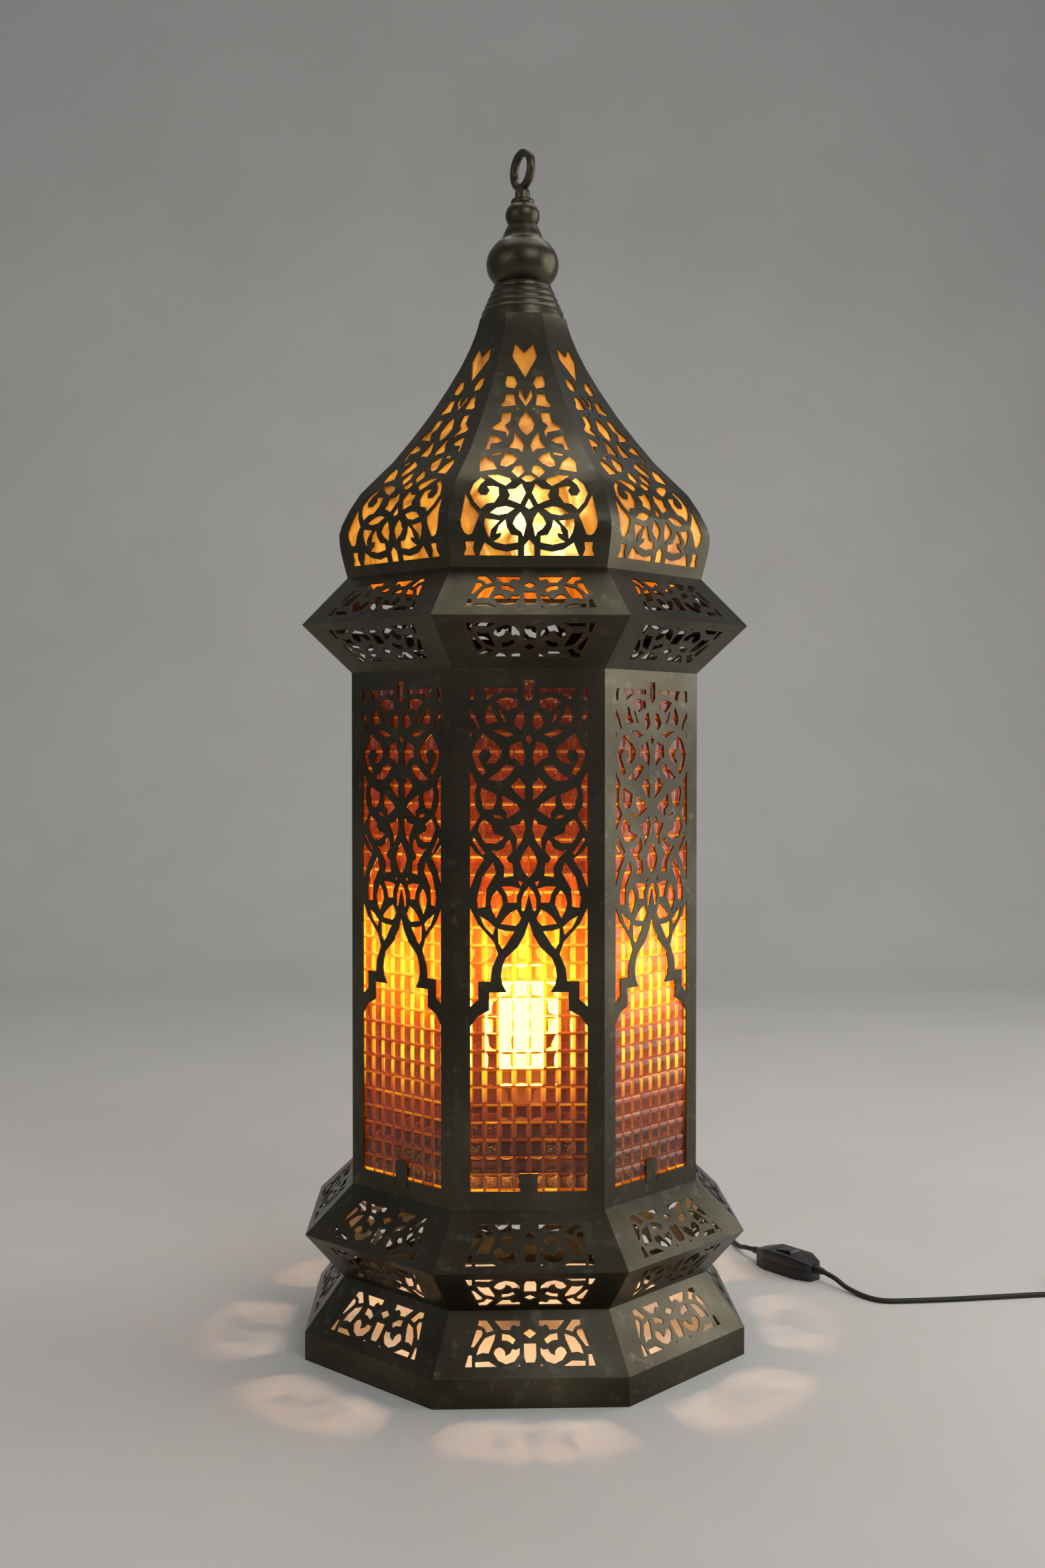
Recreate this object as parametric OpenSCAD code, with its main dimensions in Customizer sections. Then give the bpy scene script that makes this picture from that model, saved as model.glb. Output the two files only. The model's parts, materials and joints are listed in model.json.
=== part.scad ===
// Moroccan lantern: eight glazed fretwork panels between two sharp-edged rings, a flared foot, and a
// fretwork dome with a turned finial and a hanging loop. A lamp on a mains cord stands inside.
// Millimetres, +Z up. The origin is the middle of the foot and the front panel faces -Y.
// "Apothem" is the distance from the axis to the flat of an octagon.

/* [Foot] */
// Apothem of the upright rim
foot_a = 199; // [197:0.5:201]
// Height of the upright rim
rim_h = 25; // [23:0.5:27]
// Width of the flange that the lantern rests on
foot_flange = 14; // [10:1:20]
// Apothem of the waist above the foot
waist_a = 165; // [164:0.5:167]
// Height of the waist
waist_z = 71; // [70:0.5:72]

/* [Rings] */
// Apothem of the lower ring's sharp edge
lower_edge_a = 198.5; // [197:0.5:200]
// Height of the lower ring's sharp edge
lower_edge_z = 113; // [112:0.5:114]
// Apothem of the upper ring's sharp edge
upper_edge_a = 200; // [199:0.5:202]
// Height of the upper ring's sharp edge
upper_edge_z = 661; // [660:0.5:662]

/* [Body] */
// Apothem of the glazed body
body_a = 157; // [156.5:0.5:158]
// Height of the body's lower edge
body_z = 154.5; // [154:0.5:155]
// Height of the body's upper edge
body_top = 619; // [618:0.5:620]
// Half the width of a panel's window
window_half = 50.4; // [50.2:0.1:52]
// Height of a panel's window
window_h = 432; // [428:1:434]
// Plain metal above a panel's window
window_margin = 16.5; // [15:0.5:18]
// Depth of a panel's side flanges
tray_flange = 10; // [8:0.5:11]
// Thickness of a pane
glass_t = 4; // [3:0.5:5]

/* [Dome] */
// Height of the dome's lower edge
dome_z = 704.5; // [704:0.5:705]
// Height of the dome's top, where the finial stands
dome_top = 952; // [951:0.5:953]
// Thickness of the amber liner behind the dome
liner_t = 1.5; // [1:0.25:2]

/* [Sheet metal] */
// Thickness of the sheet
sheet_t = 1.2; // [1:0.1:1.4]
// How much wider each band of the fretwork is than drawn
band_grow = 0.1; // [0.05:0.05:0.4]

/* [Door] */
// Clear gap above and below the door at the back
door_gap = 2; // [1.5:0.5:3]
// Distance of the hinge axis outside the body's corner
hinge_out = 3.5; // [3.5:0.1:4]
// Outer radius of a hinge knuckle
knuckle_r = 2.7; // [2.6:0.05:2.8]
// Heights of the middles of the two hinges
hinge_heights = [250, 520];
// Height of the hook's pivot
latch_z = 390; // [300:5:450]

/* [Finial] */
// Radius of the finial's widest ball
ball_r = 34.1; // [33:0.1:35]
// Outer diameter of the hanging loop
loop_d = 40; // [36:1:44]
// Thickness of the hanging loop
loop_wire = 8; // [6:0.5:9]

/* [Lamp] */
// Outer radius of the lampholder
holder_r = 20; // [18:0.5:21]
// Radius of the bulb
bulb_r = 30; // [28:0.5:31]
// Height of the bulb's top
bulb_top = 330; // [325:1:335]

/* [Cord] */
// Diameter of the cord
cord_d = 5; // [4.5:0.1:5.2]
// Length of the switch body
switch_len = 76; // [72:1:80]
// Width of the switch body
switch_w = 30; // [28:1:32]

/* [Hidden] */
FACES = ["front", "front_right", "right", "back_right", "back", "back_left", "left", "front_left"];
DOOR_FACE = 4;
FIXED_FACES = [0, 1, 2, 3, 5, 6, 7];
metal = [0.36, 0.34, 0.28];
brass = [0.55, 0.47, 0.30];
amber = [0.95, 0.62, 0.15, 0.6];
black = [0.06, 0.06, 0.06];
hair = 0.05; // gap left between parts that touch
half_angle = 22.5; // half of an octagon side's angle
turn = 45;
far = 240; // beyond the lantern's widest edge
arc_error = 0.75; // farthest that a piece of an arc lies inside it
turned_error = 0.1; // the same for turned parts
running = 0.1; // clearance of a pin in its hole
window_top = body_top - window_margin;
mitre_gap = 0.1; // hairline between neighbouring faces
corner_x = body_a * tan(half_angle);
pane_y = -body_a + sheet_t + 0.1;
pane_half = (body_a - sheet_t - glass_t) * tan(half_angle) - sheet_t / cos(half_angle) - 1;
loop_z = 1096;
bulb_neck_z = 246;
strap_top = body_z - 2.2;
holder_top = 211;
cord_r = cord_d / 2;

// ---- Outlines ----

// Points of one side from p to q, without q, that bows out by bow times half its length, drawn within error
function bowed_side(p, q, bow, error) =
    let (
        half = norm(q - p) / 2,
        along = (q - p) / (2 * half),
        out = [along[1], -along[0]],
        open = 2 * atan(bow),
        r = bow == 0 ? 0 : half / sin(open),
        n = bow == 0 ? 1 : max(1, ceil(abs(open) / acos(1 - error / abs(r))))
    )
    bow == 0 ? [p] : [
        for (i = [0:n - 1])
            let (w = open * (2 * i / n - 1))
            (p + q) / 2 + along * r * sin(w) + out * r * (cos(w) - cos(open))
    ];

// Twice the signed area of a closed outline
function winding(c) = [for (i = [0:len(c) - 1]) let (q = c[(i + 1) % len(c)]) c[i][0] * q[1] - c[i][1] * q[0]]
    * [for (i = c) 1];

// Closed outline through corners [x, y, bow]: a positive bow swells the side that follows the corner
function outline(c, error = arc_error) =
    let (swell = winding(c) < 0 ? -1 : 1)
    [
        for (i = [0:len(c) - 1])
            let (p = c[i], q = c[(i + 1) % len(c)])
            each bowed_side([p[0], p[1]], [q[0], q[1]], is_undef(p[2]) ? 0 : swell * p[2], error)
    ];

// Open curve through points p, with n pieces between two points
function smooth(p, n) = [
    for (i = [0:len(p) - 2])
        let (a = p[max(i - 1, 0)], b = p[i], c = p[i + 1], d = p[min(i + 2, len(p) - 1)])
        for (k = [0:n - 1])
            let (t = k / n)
            ((2 * b) + (c - a) * t + (2 * a - 5 * b + 4 * c - d) * t * t
                + (3 * b - a - 3 * c + d) * t * t * t) / 2,
    p[len(p) - 1]
];

// A path moved sideways by t, with mitred corners and level ends. Its points are [y, z], going up
function inward(p, t) =
    let (
        last = len(p) - 1,
        way = [for (i = [0:last - 1]) (p[i + 1] - p[i]) / norm(p[i + 1] - p[i])],
        side = [for (w = way) [w[1], -w[0]]]
    )
    [
        p[0] + end_step(way[0], t),
        for (i = [1:last - 1]) p[i] + (side[i - 1] + side[i]) * t / (1 + side[i - 1] * side[i]),
        p[last] + end_step(way[last - 1], t)
    ];

function end_step(way, t) = abs(way[1]) > 0.2 ? [t / way[1], 0] : [0, t];

function reversed(p) = [for (i = [len(p) - 1:-1:0]) p[i]];

// Cross-section of a sheet of thickness t behind a path
function sheet(path, t) = concat(path, reversed(inward(path, t)));

module octagon(a) {
    rotate(half_angle) circle(r = a / cos(half_angle), $fn = 8);
}

// ---- Placing ----

module at_face(k) {
    rotate(turn * k) children();
}

// Cross-sections in [y, z] drawn along the whole of a face
module along_face() {
    rotate([90, 0, 90]) linear_extrude(2 * far, center = true) children();
}

// Drawings in [x, z] cut through the front face, from y0 to y1
module through_front(y0, y1) {
    translate([0, y1, 0]) rotate([90, 0, 0]) linear_extrude(y1 - y0) children();
}

// Drawings in [x, height above the wide edge] cut through a slope that starts at a0, z0
module through_slope(a0, z0, a1, z1) {
    depth = 6;
    translate([0, -a0, z0]) rotate([atan2(z1 - z0, a0 - a1), 0, 0])
        linear_extrude(2 * depth, center = true) children();
}

// The eighth of space in front of the front face, less a hairline on both sides
module sector() {
    back = mitre_gap / 2 / sin(half_angle);
    linear_extrude(dome_top + 100)
        polygon([[0, -back], [far * tan(half_angle), -far - back], [-far * tan(half_angle), -far - back]]);
}

// Both halves of openings that are drawn on one side of the middle line
module both_halves(openings) {
    for (side = [-1, 1])
        for (c = openings) polygon(outline([for (q = c) [side * q[0], q[1], q[2]]]));
}

module openings_only() {
    offset(delta = -band_grow) children();
}

// ---- Fretwork drawings ----
// Corners are [distance from the middle line, height or depth, bow]. Halves are mirrored.

// Foot and rings: heights are above the window's wide edge
ring_half = [
    [[55, 0], [49, 0], [49, 10], [52, 10]],
    [[46.5, 4.3, .12], [35, 4.8, .1], [27.5, 0], [46.2, 0]],
    [[12.3, 0], [8.2, 0], [9, 2.4]],
    [[45, 31.2, .15], [41, 31, .35], [40.4, 26, -.05], [47.4, 16.3], [50, 16.3]],
    [[43, 39, 0], [36.5, 39], [30.2, 30.4, .08], [36.5, 28.3, -.35], [43.8, 34.5]],
    [[29, 27.6], [30.3, 22, -.06], [35, 11, -.25], [45.5, 9.5, .15], [38, 24.2, .1]],
    [[30, 38.6], [8, 38.6], [8, 34], [11, 33.2, -.7], [15.8, 33], [16.5, 30.3], [23.3, 30.5, -.1]],
    [[23.5, 27.8, .25], [12, 22.6, .3], [14.5, 18.4, -.25], [23.8, 21.8]],
    [[26, 16.6, .35], [31, 11, .28], [20.5, 1.9, .32], [9, 10, .08], [8.5, 15.8], [11.5, 14.1],
        [15, 14.8, -.3], [20.8, 9.2], [21, 12.5, .25]]
];
ring_middle = [
    [[5.8, 27.6, -.15], [0, 31.6, -.15], [-5.8, 27.6, -.15], [0, 23.2, -.15]],
    [[5.2, 19.3, -.12], [-5.2, 19.3], [-5.2, 8, .1], [-3.8, 3.2], [3.8, 3.2, .1], [5.2, 8]]
];

// Body panels: depths are below the window's top
body_half = [
    [[50.4, 0], [44.8, 0, -.3], [47.2, 5], [47.2, 10.6], [50.4, 10.6]],
    [[40.5, 0], [8.7, 0], [9.3, 4.8, -.12], [27, 5, -.1], [36, 10.3], [37.3, 4.5, -.1]],
    [[28.3, 11, .28], [9.2, 10.5, .1], [9, 16.5], [15, 17.8], [18, 20.5], [24, 16]],
    [[33, 14.2, .12], [37.6, 26, .12], [36, 31.5], [30, 30], [25.5, 29.3, -.15], [31.5, 17]],
    [[26, 19.3, .05], [21.5, 29.6], [18.8, 29.8, .1], [24.3, 18.9]],
    [[6.6, 15.3], [5.8, 19.8], [9.5, 22, .15], [13, 29.5, .28], [7, 35.8, .2], [3, 29, .1]],
    [[50.4, 17.8, .12], [42, 34], [43.7, 36.2, -.08], [47, 28], [50.4, 24.5]],
    [[50.4, 36], [48.8, 40], [50.4, 44.3]],
    [[32.5, 36.2, .24], [12.5, 40.2, .15], [19, 42.6, .1]],
    [[39, 39, .1], [48.7, 57, .16], [40, 75.3, .3], [36.4, 72.6, -.1], [42.9, 60], [42.6, 57, -.95],
        [31.8, 58, -.15], [36.5, 65, .12], [28.5, 64.7, .25], [23.4, 54, .15], [31, 45.3]],
    [[6.5, 45.5, -.12], [16.8, 49.6, -.15], [17.3, 59.6], [12, 60.7, -.1], [5, 67.8], [3, 59, .05]],
    [[19.5, 65.5, -.12], [12, 67.5, .18], [22.5, 79.4, .15], [35, 78.4, .12], [27, 72.6]],
    [[50.4, 71.5], [44.2, 82, -.15], [45.8, 101], [41.7, 109, .08], [50, 123], [50.4, 123]],
    [[8.7, 76.8, -.12], [15.2, 84.2, -.15], [11, 90, -.08], [3.3, 96.5, -.12], [3, 83, -.1]],
    [[40.5, 85.3], [27.3, 91.3, .2], [31, 103.5, .25], [38.5, 103.5, .08], [42, 91, .1]],
    [[22.8, 91.8], [10.5, 99.5, .15], [7, 104.3, .1], [19, 112.3], [18.8, 106.5], [22.8, 103, -.1]],
    [[31, 108.5], [25, 109, .1], [21.7, 112.2], [29, 111.4]],
    [[38.5, 112, .05], [31, 118.3, -.28], [29.5, 124.5], [20.5, 127.8, .1],
        [28, 133.4, .1], [37.5, 132.5, .1], [43.6, 122, .2]],
    [[4.6, 110.3, .05], [2.7, 121, .12], [11, 138.5, .05], [10.2, 129, -.12], [16.5, 118.3], [8, 116.6, -.1]],
    [[47.5, 127], [37.2, 141.8, .25], [40, 143, .1], [48, 131]],
    [[50.4, 134.5, -.12], [38, 146.3], [45, 157.5, -.06], [50, 171], [50.4, 171]],
    [[33, 138.3, .05], [25.5, 146], [21, 153, .1], [21.5, 162.3], [13, 161, -.08], [14, 150],
        [17, 149.3, -.3], [19, 145.5, .1], [14, 140, .15], [16.5, 130, .3], [18.7, 131.5, -.55]],
    [[30.7, 148.8, .15], [28, 158, .05], [36.3, 172], [37, 187.3],
        [43.5, 188.5], [44.5, 180, .06], [40, 162]],
    [[23.5, 170, .15], [7.3, 171.7], [10.2, 178], [10.3, 183.8], [17.7, 184, -.2]],
    [[9, 165], [5, 166.2], [7, 170.3]],
    [[27.3, 172.8, .22], [22.2, 185, .1], [28, 197.3, .12], [33, 184, .2]],
    [[42.5, 194.8, .12], [29, 204.8], [30.7, 211.8, .05], [37.5, 205]],
    [[10.3, 189.6, .1], [6.6, 197, .2], [11.5, 203.8, .06], [24, 202, .12], [15.5, 192]],
    [[26.5, 205.8], [20, 207.8], [12.2, 208.3], [19.5, 220, .1], [22.7, 223.8, .2], [26, 218.5]],
    [[50.4, 188, .05], [43.5, 202, .03], [30, 217.3], [26.3, 227.7, .05], [31.5, 240, .06], [32.8, 251.3],
        [43.3, 251.3], [43.3, 267, .12], [50.4, 273]]
];
body_middle = [
    [[0, 39.8, -.1], [2.9, 43.6, -.1], [0, 49, -.1], [-2.9, 43.6, -.1]],
    [[0, 134.5, .14], [7.4, 149, .22], [0, 162.4, .22], [-7.4, 149, .14]],
    [[0, 169.8, .16], [6.4, 181], [6.3, 190, .9], [3.5, 190], [0, 176.5], [-3.5, 190, .9], [-6.3, 190],
        [-6.4, 181, .16]]
];
// Keel arch: half of the great opening below it, down to the square step above the shoulders
arch_half = [[0, 200, -.1], [9.5, 221.5], [20, 231.5, .12], [24, 247, .15], [19, 260.5], [34, 260.5]];
arch_step = 276;
arch_shoulder = 290;
tab_half = 7.5;
tab_h = 15.4;
tab_slit = 1.2;
slit_depth = 6;
clip_slot = [[-4.1, -6.7], [4.1, -6.7], [4.1, 8, .1], [0, 12.6, .1], [-4.1, 8]];

// Dome: heights are above dome_fret_z, seen square to the face
dome_fret_z = dome_z + 9.5;
dome_half = [
    [[54, 11.5, -.2], [46.7, 11.5, -.25], [45.5, 0], [55.7, 0, -.25]],
    [[37.8, 11, -.3], [9.5, 5.2], [9.5, 0], [42.6, 0, .1]],
    [[20.3, 30, .25], [28.3, 17.8, .3], [23.7, 18.7], [24.5, 15.5],
        [30.5, 11.3, .2], [9.5, 10.8], [9.5, 16.4], [15.5, 17.3, -.15]],
    [[37.6, 31], [25, 29], [32.5, 21], [33.5, 13.8, .15], [38.3, 26]],
    [[7.5, 36.6, .14], [2.5, 26, .08], [5.1, 15.4], [6.8, 19.4, .2], [14.2, 26.5, .15]],
    [[33.7, 35.8, .36], [12.3, 39.8, .36]],
    [[54, 53, -.12], [42, 34, .06], [48.5, 17.7, .4], [55, 18.8, .15], [58.2, 29]],
    [[6, 63, .12], [2.5, 54, .12], [7.5, 43.8], [18, 48.2], [16.2, 51.5], [18.2, 57.3], [11.5, 58, -.2]],
    [[40.5, 68.7, .22], [50.3, 54, .16], [41, 39], [36, 44, .1], [29.5, 45, .3],
        [25.7, 59.3, .15], [35.8, 60.2], [33.3, 56.3, -.98], [43.7, 56.3, -.2], [37, 65.8]],
    [[35.7, 70.8, .2], [16, 68, .1], [14.6, 64.8], [19.7, 60.6, .1], [26, 63.8]],
    [[14.5, 74.5, .05], [11, 80, .1], [5, 81.8, -.1], [2.9, 74.2], [9, 68.6, .1]],
    [[36.5, 90.5, .22], [26.7, 77.3], [41.9, 74.3, .1], [41.5, 85, .1]],
    [[19.5, 95, .12], [8.3, 88.8], [12.5, 83, .12], [19, 79.3, .1], [24, 80.8], [23, 86.5, -.25]],
    [[31.2, 93], [23, 95.2, .2], [22.5, 92.7], [30, 90.8, .2]],
    [[32, 112.3, .18], [20.5, 106.8, .2], [31.5, 103.5], [33, 97.5, .2], [37, 97]],
    [[10.2, 115.5, .12], [2.7, 101.5], [4.8, 94.5], [7.5, 98], [16.2, 99.3, -.18]],
    [[20.8, 135.5], [12.8, 135.5, -.1], [14.2, 126.5], [18.8, 122.3, .1], [15.2, 116, .15], [17, 109.7],
        [18.4, 115.4], [28.5, 117.5, .15], [30.7, 119.8], [22.6, 126.5, -.12]],
    [[17.2, 154.5], [10.2, 154.5, -.08], [8.8, 143], [20.5, 141.2, .1], [22.3, 143, -.18]],
    [[7.4, 141.7], [5.2, 138.4], [8.8, 138.4]],
    [[16, 173.7], [10, 173], [7, 166], [9.7, 160.2], [16.8, 161.7], [18, 165.3]]
];
dome_middle = [
    [[0, 13.3], [4.3, 8.5], [4.3, 0], [-4.3, 0], [-4.3, 8.5]],
    [[0, 49], [3.6, 41.5, .2], [0, 39, .2], [-3.6, 41.5]],
    [[6.2, 67.8, .6], [-6.2, 67.8, .6]],
    [[0, 136.5, .16], [7.4, 123, .22], [0, 112, .22], [-7.4, 123, .16]],
    [[5.2, 160.3, .1], [6.4, 152, .12], [0, 141.8, .12],
        [-6.4, 152, .1], [-5.2, 160.3, -.06], [0, 147.5, -.06]],
    [[0, 197.5], [8.2, 206.7, .06], [11.3, 193.5, .04], [0, 171.5, .04], [-11.3, 193.5, .06], [-8.2, 206.7]]
];

module ring_openings(margin) {
    openings_only() translate([0, margin]) {
        both_halves(ring_half);
        for (c = ring_middle) polygon(outline(c));
    }
}

// Great opening from the keel arch to the bottom of the window, with the tab that stands in it
module arch_opening() {
    half = concat(arch_half, [[34, arch_step, .25], [window_half, arch_shoulder], [window_half, window_h],
        [tab_half + tab_slit, window_h], [tab_half + tab_slit, window_h + slit_depth],
        [tab_half, window_h + slit_depth], [tab_half, window_h - tab_h], [0, window_h - tab_h]]);
    for (side = [-1, 1])
        polygon(concat([[-side * 0.1, window_h - tab_h], [-side * 0.1, arch_half[0][1] + 0.4]],
            outline([for (q = half) [side * q[0], q[1], q[2]]])));
}

module body_openings() {
    openings_only() translate([0, window_top]) mirror([0, 1]) {
        both_halves(body_half);
        for (c = body_middle) polygon(outline(c));
        polygon(outline(clip_slot));
        arch_opening();
    }
}

module dome_openings() {
    openings_only() translate([0, dome_fret_z]) {
        both_halves(dome_half);
        for (c = dome_middle) polygon(outline(c));
    }
}

// ---- Foot and rings ----

// One face bent to a path in [y, z]
module bent_face(path, t) {
    intersection() {
        along_face() polygon(sheet(path, t));
        sector();
    }
}

// Eight fretwork faces of a ring, between a0, z0 at the wide edge and a1, z1 at the narrow one
module ring_faces(path, a0, z0, a1, z1, margin) {
    color(metal)
        for (k = [0:7]) at_face(k) difference() {
            bent_face(path, sheet_t);
            through_slope(a0, z0, a1, z1) ring_openings(margin);
        }
}

module foot_skirt() {
    path = [[foot_flange - foot_a, 0], [-foot_a, 0], [-foot_a, rim_h], [-waist_a, waist_z - hair]];
    difference() {
        ring_faces(path, foot_a, rim_h, waist_a, waist_z, 10);
        translate([0, foot_a, lead_z]) rotate([90, 0, 0]) cylinder(h = 10, r = bush_r + hair, center = true);
    }
}

module lower_ring_under() {
    path = [[-waist_a, waist_z], [-lower_edge_a, lower_edge_z - hair]];
    ring_faces(path, lower_edge_a, lower_edge_z, waist_a, waist_z, 8);
}

module lower_ring_top() {
    path = [[-lower_edge_a, lower_edge_z], [-body_a, body_z - hair]];
    ring_faces(path, lower_edge_a, lower_edge_z, body_a, body_z, 7);
}

module upper_ring_under() {
    path = [[-body_a, body_top], [-upper_edge_a, upper_edge_z - hair]];
    ring_faces(path, upper_edge_a, upper_edge_z, body_a, body_top, 9);
}

module upper_ring_top() {
    path = [[-upper_edge_a, upper_edge_z], [-dome_foot_a, dome_z - hair]];
    ring_faces(path, upper_edge_a, upper_edge_z, dome_foot_a, dome_z, 9);
}

// Flat octagonal frame inside the sheet, from apothem a_in to a_out
module frame(a_in, a_out, z, t) {
    translate([0, 0, z]) linear_extrude(t) difference() {
        octagon(a_out);
        octagon(a_in);
    }
}

module bottom_frame() {
    color(metal) difference() {
        frame(body_a - 22, body_a - 4, strap_top + hair, 2);
        for (side = [-1, 1]) translate([side * strap_screw_x, 0, strap_top - 1]) cylinder(h = 5, r = 2.2);
    }
}

module top_frame() {
    color(metal) frame(body_a - 22, body_a - 4, body_top + hair, 1.5);
}

module dome_frame() {
    t = 1.5;
    color(metal) frame(dome_foot_a - 18, dome_foot_a - 2, dome_z - t - hair, t);
}

// ---- Body ----

// Plan of a folded tray: the face and the two side flanges, which lie along the mitres
module tray_plan() {
    edge = corner_x - mitre_gap / 2;
    into = [-sin(half_angle), cos(half_angle)];
    thick = [-cos(half_angle), -sin(half_angle)] * sheet_t;
    half = [
        [edge, -body_a],
        [edge, -body_a] + into * tray_flange,
        [edge, -body_a] + into * tray_flange + thick,
        [edge - sheet_t * (1 + sin(half_angle)) / cos(half_angle), sheet_t - body_a]
    ];
    polygon(concat(half, [for (q = reversed(half)) [-q[0], q[1]]]));
}

// Tray between two heights, with a level flange at both ends
module tray(z0, z1) {
    inner = corner_x - sheet_t;
    slope_in = tan(half_angle) * tray_flange;
    difference() {
        union() {
            translate([0, 0, z0]) linear_extrude(z1 - z0) tray_plan();
            for (z = [z0, z1 - sheet_t])
                translate([0, 0, z]) linear_extrude(sheet_t) polygon([
                    [inner, sheet_t / 2 - body_a], [inner - slope_in, tray_flange - body_a],
                    [slope_in - inner, tray_flange - body_a], [-inner, sheet_t / 2 - body_a]
                ]);
        }
        through_front(-body_a - 1, sheet_t - body_a + 0.5) body_openings();
    }
}

module panel() {
    color(metal) tray(body_z + hair, body_top - hair);
}

module pane(z0, z1) {
    color(amber) translate([-pane_half, pane_y, z0]) cube([2 * pane_half, glass_t, z1 - z0]);
}

// Bent clips behind a pane, two on each side
module pane_clips() {
    clip = [9, 1.2, 16];
    for (side = [-1, 1], z = [window_top - 60, window_top - window_h + 40])
        translate([side * (pane_half - clip[0] / 2) - clip[0] / 2, pane_y + glass_t + 0.1, z]) cube(clip);
}

module glass() {
    pane(body_z + sheet_t + 1, body_top - sheet_t - 1);
}

module glass_clips() {
    color(metal) for (k = FIXED_FACES) at_face(k) pane_clips();
}

// ---- Door at the back ----

module door_panel() {
    color(metal) at_face(DOOR_FACE) tray(body_z + door_gap, body_top - door_gap);
}

module door_glass() {
    at_face(DOOR_FACE) pane(body_z + door_gap + sheet_t + 1, body_top - door_gap - sheet_t - 1);
}

module door_glass_clips() {
    color(metal) at_face(DOOR_FACE) pane_clips();
}

axis_x = corner_x + hinge_out * sin(half_angle);
axis_y = -body_a - hinge_out * cos(half_angle);
knuckle_h = 8;
knuckle_gap = 0.3;
knuckles = 5;
pin_r = 1.2;
leaf_t = 1;
leaf_w = 13;

// Hinge leaf on a face, at the corner on side (-1 or 1), with the knuckles in list own
module hinge_leaf(side, own) {
    reach = 3.6;
    h = knuckles * knuckle_h;
    edge = axis_x - reach;
    color(brass) for (z = hinge_heights) translate([0, 0, z - h / 2]) mirror([side < 0 ? 1 : 0, 0, 0])
        difference() {
            union() {
                translate([edge - leaf_w, -body_a - leaf_t, 0]) cube([leaf_w, leaf_t - hair, h]);
                for (i = own) translate([0, 0, i * knuckle_h + knuckle_gap / 2]) {
                    translate([axis_x, axis_y, 0])
                        cylinder(h = knuckle_h - knuckle_gap, r = knuckle_r, $fn = 32);
                    translate([edge - 1, -body_a - leaf_t, 0])
                        cube([reach + 1, leaf_t - hair, knuckle_h - knuckle_gap]);
                }
                for (i = [0:2]) translate([edge - leaf_w / 2, -body_a - leaf_t, knuckle_h * (0.8 + 1.7 * i)])
                    rotate([90, 0, 0]) cylinder(h = 0.8, r1 = 2, r2 = 1.2, $fn = 24);
            }
            translate([axis_x, axis_y, -1]) cylinder(h = h + 2, r = pin_r + running, $fn = 32);
        }
}

module hinge_door_leaves() {
    at_face(DOOR_FACE) hinge_leaf(-1, [1, 3]);
}

module hinge_frame_leaves() {
    at_face(DOOR_FACE - 1) hinge_leaf(1, [0, 2, 4]);
}

module hinge_pins() {
    h = knuckles * knuckle_h + 1;
    color(brass) at_face(DOOR_FACE) for (z = hinge_heights) translate([-axis_x, axis_y, z]) {
        cylinder(h = h, r = pin_r, center = true, $fn = 32);
        for (side = [-1, 1]) translate([0, 0, side * h / 2]) cylinder(h = 1, r = 2, center = true, $fn = 32);
    }
}

// The hook pivots on the face beside the door and swings over the top into the eye on the door
pivot_in = 18; // pivot's distance from the corner
hook_out = 4; // hook's distance in front of the face
hook_len = 30.5;
hook_wire = 1.1;
pivot_r = 1.5;
tip_len = 8;
eye_along = 6; // eye's distance from the corner along the door
eye_out = 11.7; // eye's distance in front of the door
eye_ring = 3.6;
eye_drop = 4;

module at_pivot() {
    at_face(DOOR_FACE + 1) translate([pivot_in - corner_x, -body_a - hook_out, latch_z]) children();
}

module latch_hook() {
    color(brass) at_pivot() {
        difference() {
            rotate([90, 0, 0]) cylinder(h = 2 * hook_wire, r = 3.2, center = true, $fn = 32);
            rotate([90, 0, 0]) cylinder(h = 4 * hook_wire, r = pivot_r + running, center = true, $fn = 32);
        }
        translate([0, 0, -hook_len]) cylinder(h = hook_len - 2.4, r = hook_wire, $fn = 24);
        translate([0, 0, -hook_len]) sphere(r = hook_wire, $fn = 24);
        translate([0, 0, -hook_len]) rotate([0, 90, 0]) cylinder(h = tip_len, r = hook_wire, $fn = 24);
    }
}

module latch_pivot() {
    color(brass) at_pivot() rotate([90, 0, 0]) {
        translate([0, 0, -hook_out + hair]) cylinder(h = hook_out + 2, r = pivot_r, $fn = 32);
        translate([0, 0, -hook_out + hair]) cylinder(h = 2.4, r = 3, $fn = 32);
        translate([0, 0, 1.5]) cylinder(h = 1.6, r1 = 3, r2 = 2, $fn = 32);
    }
}

module latch_eye() {
    color(brass) at_face(DOOR_FACE) translate([corner_x - eye_along, -body_a, latch_z - eye_drop]) {
        translate([0, -eye_out, 0]) rotate_extrude($fn = 48)
            translate([eye_ring, 0]) circle(hook_wire, $fn = 24);
        rotate([90, 0, 0]) translate([0, 0, hair]) {
            cylinder(h = eye_out - eye_ring, r = 1.2, $fn = 24);
            cylinder(h = 1, r = 3.5, $fn = 32);
        }
    }
}

// ---- Dome ----

dome_flange = 8;
dome_foot_a = 160.5;
neck_a = 40.3;
dome_curve = [[-dome_foot_a, dome_z], [-165, dome_z + 17.5], [-167.5, dome_z + 32.5], [-165.5, dome_z + 46.5],
    [-149, dome_z + 76.5], [-120, dome_z + 107.5], [-85.5, dome_z + 154.5], [-58, dome_z + 200.5],
    [-44.5, dome_z + 231.5], [-neck_a, dome_top]];
dome_path = concat([[dome_flange - dome_foot_a, dome_z]], smooth(dome_curve, 2));

module dome_gores() {
    color(metal)
        for (k = [0:7]) at_face(k) difference() {
            bent_face(dome_path, sheet_t);
            through_front(-far, -20) dome_openings();
        }
}

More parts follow.
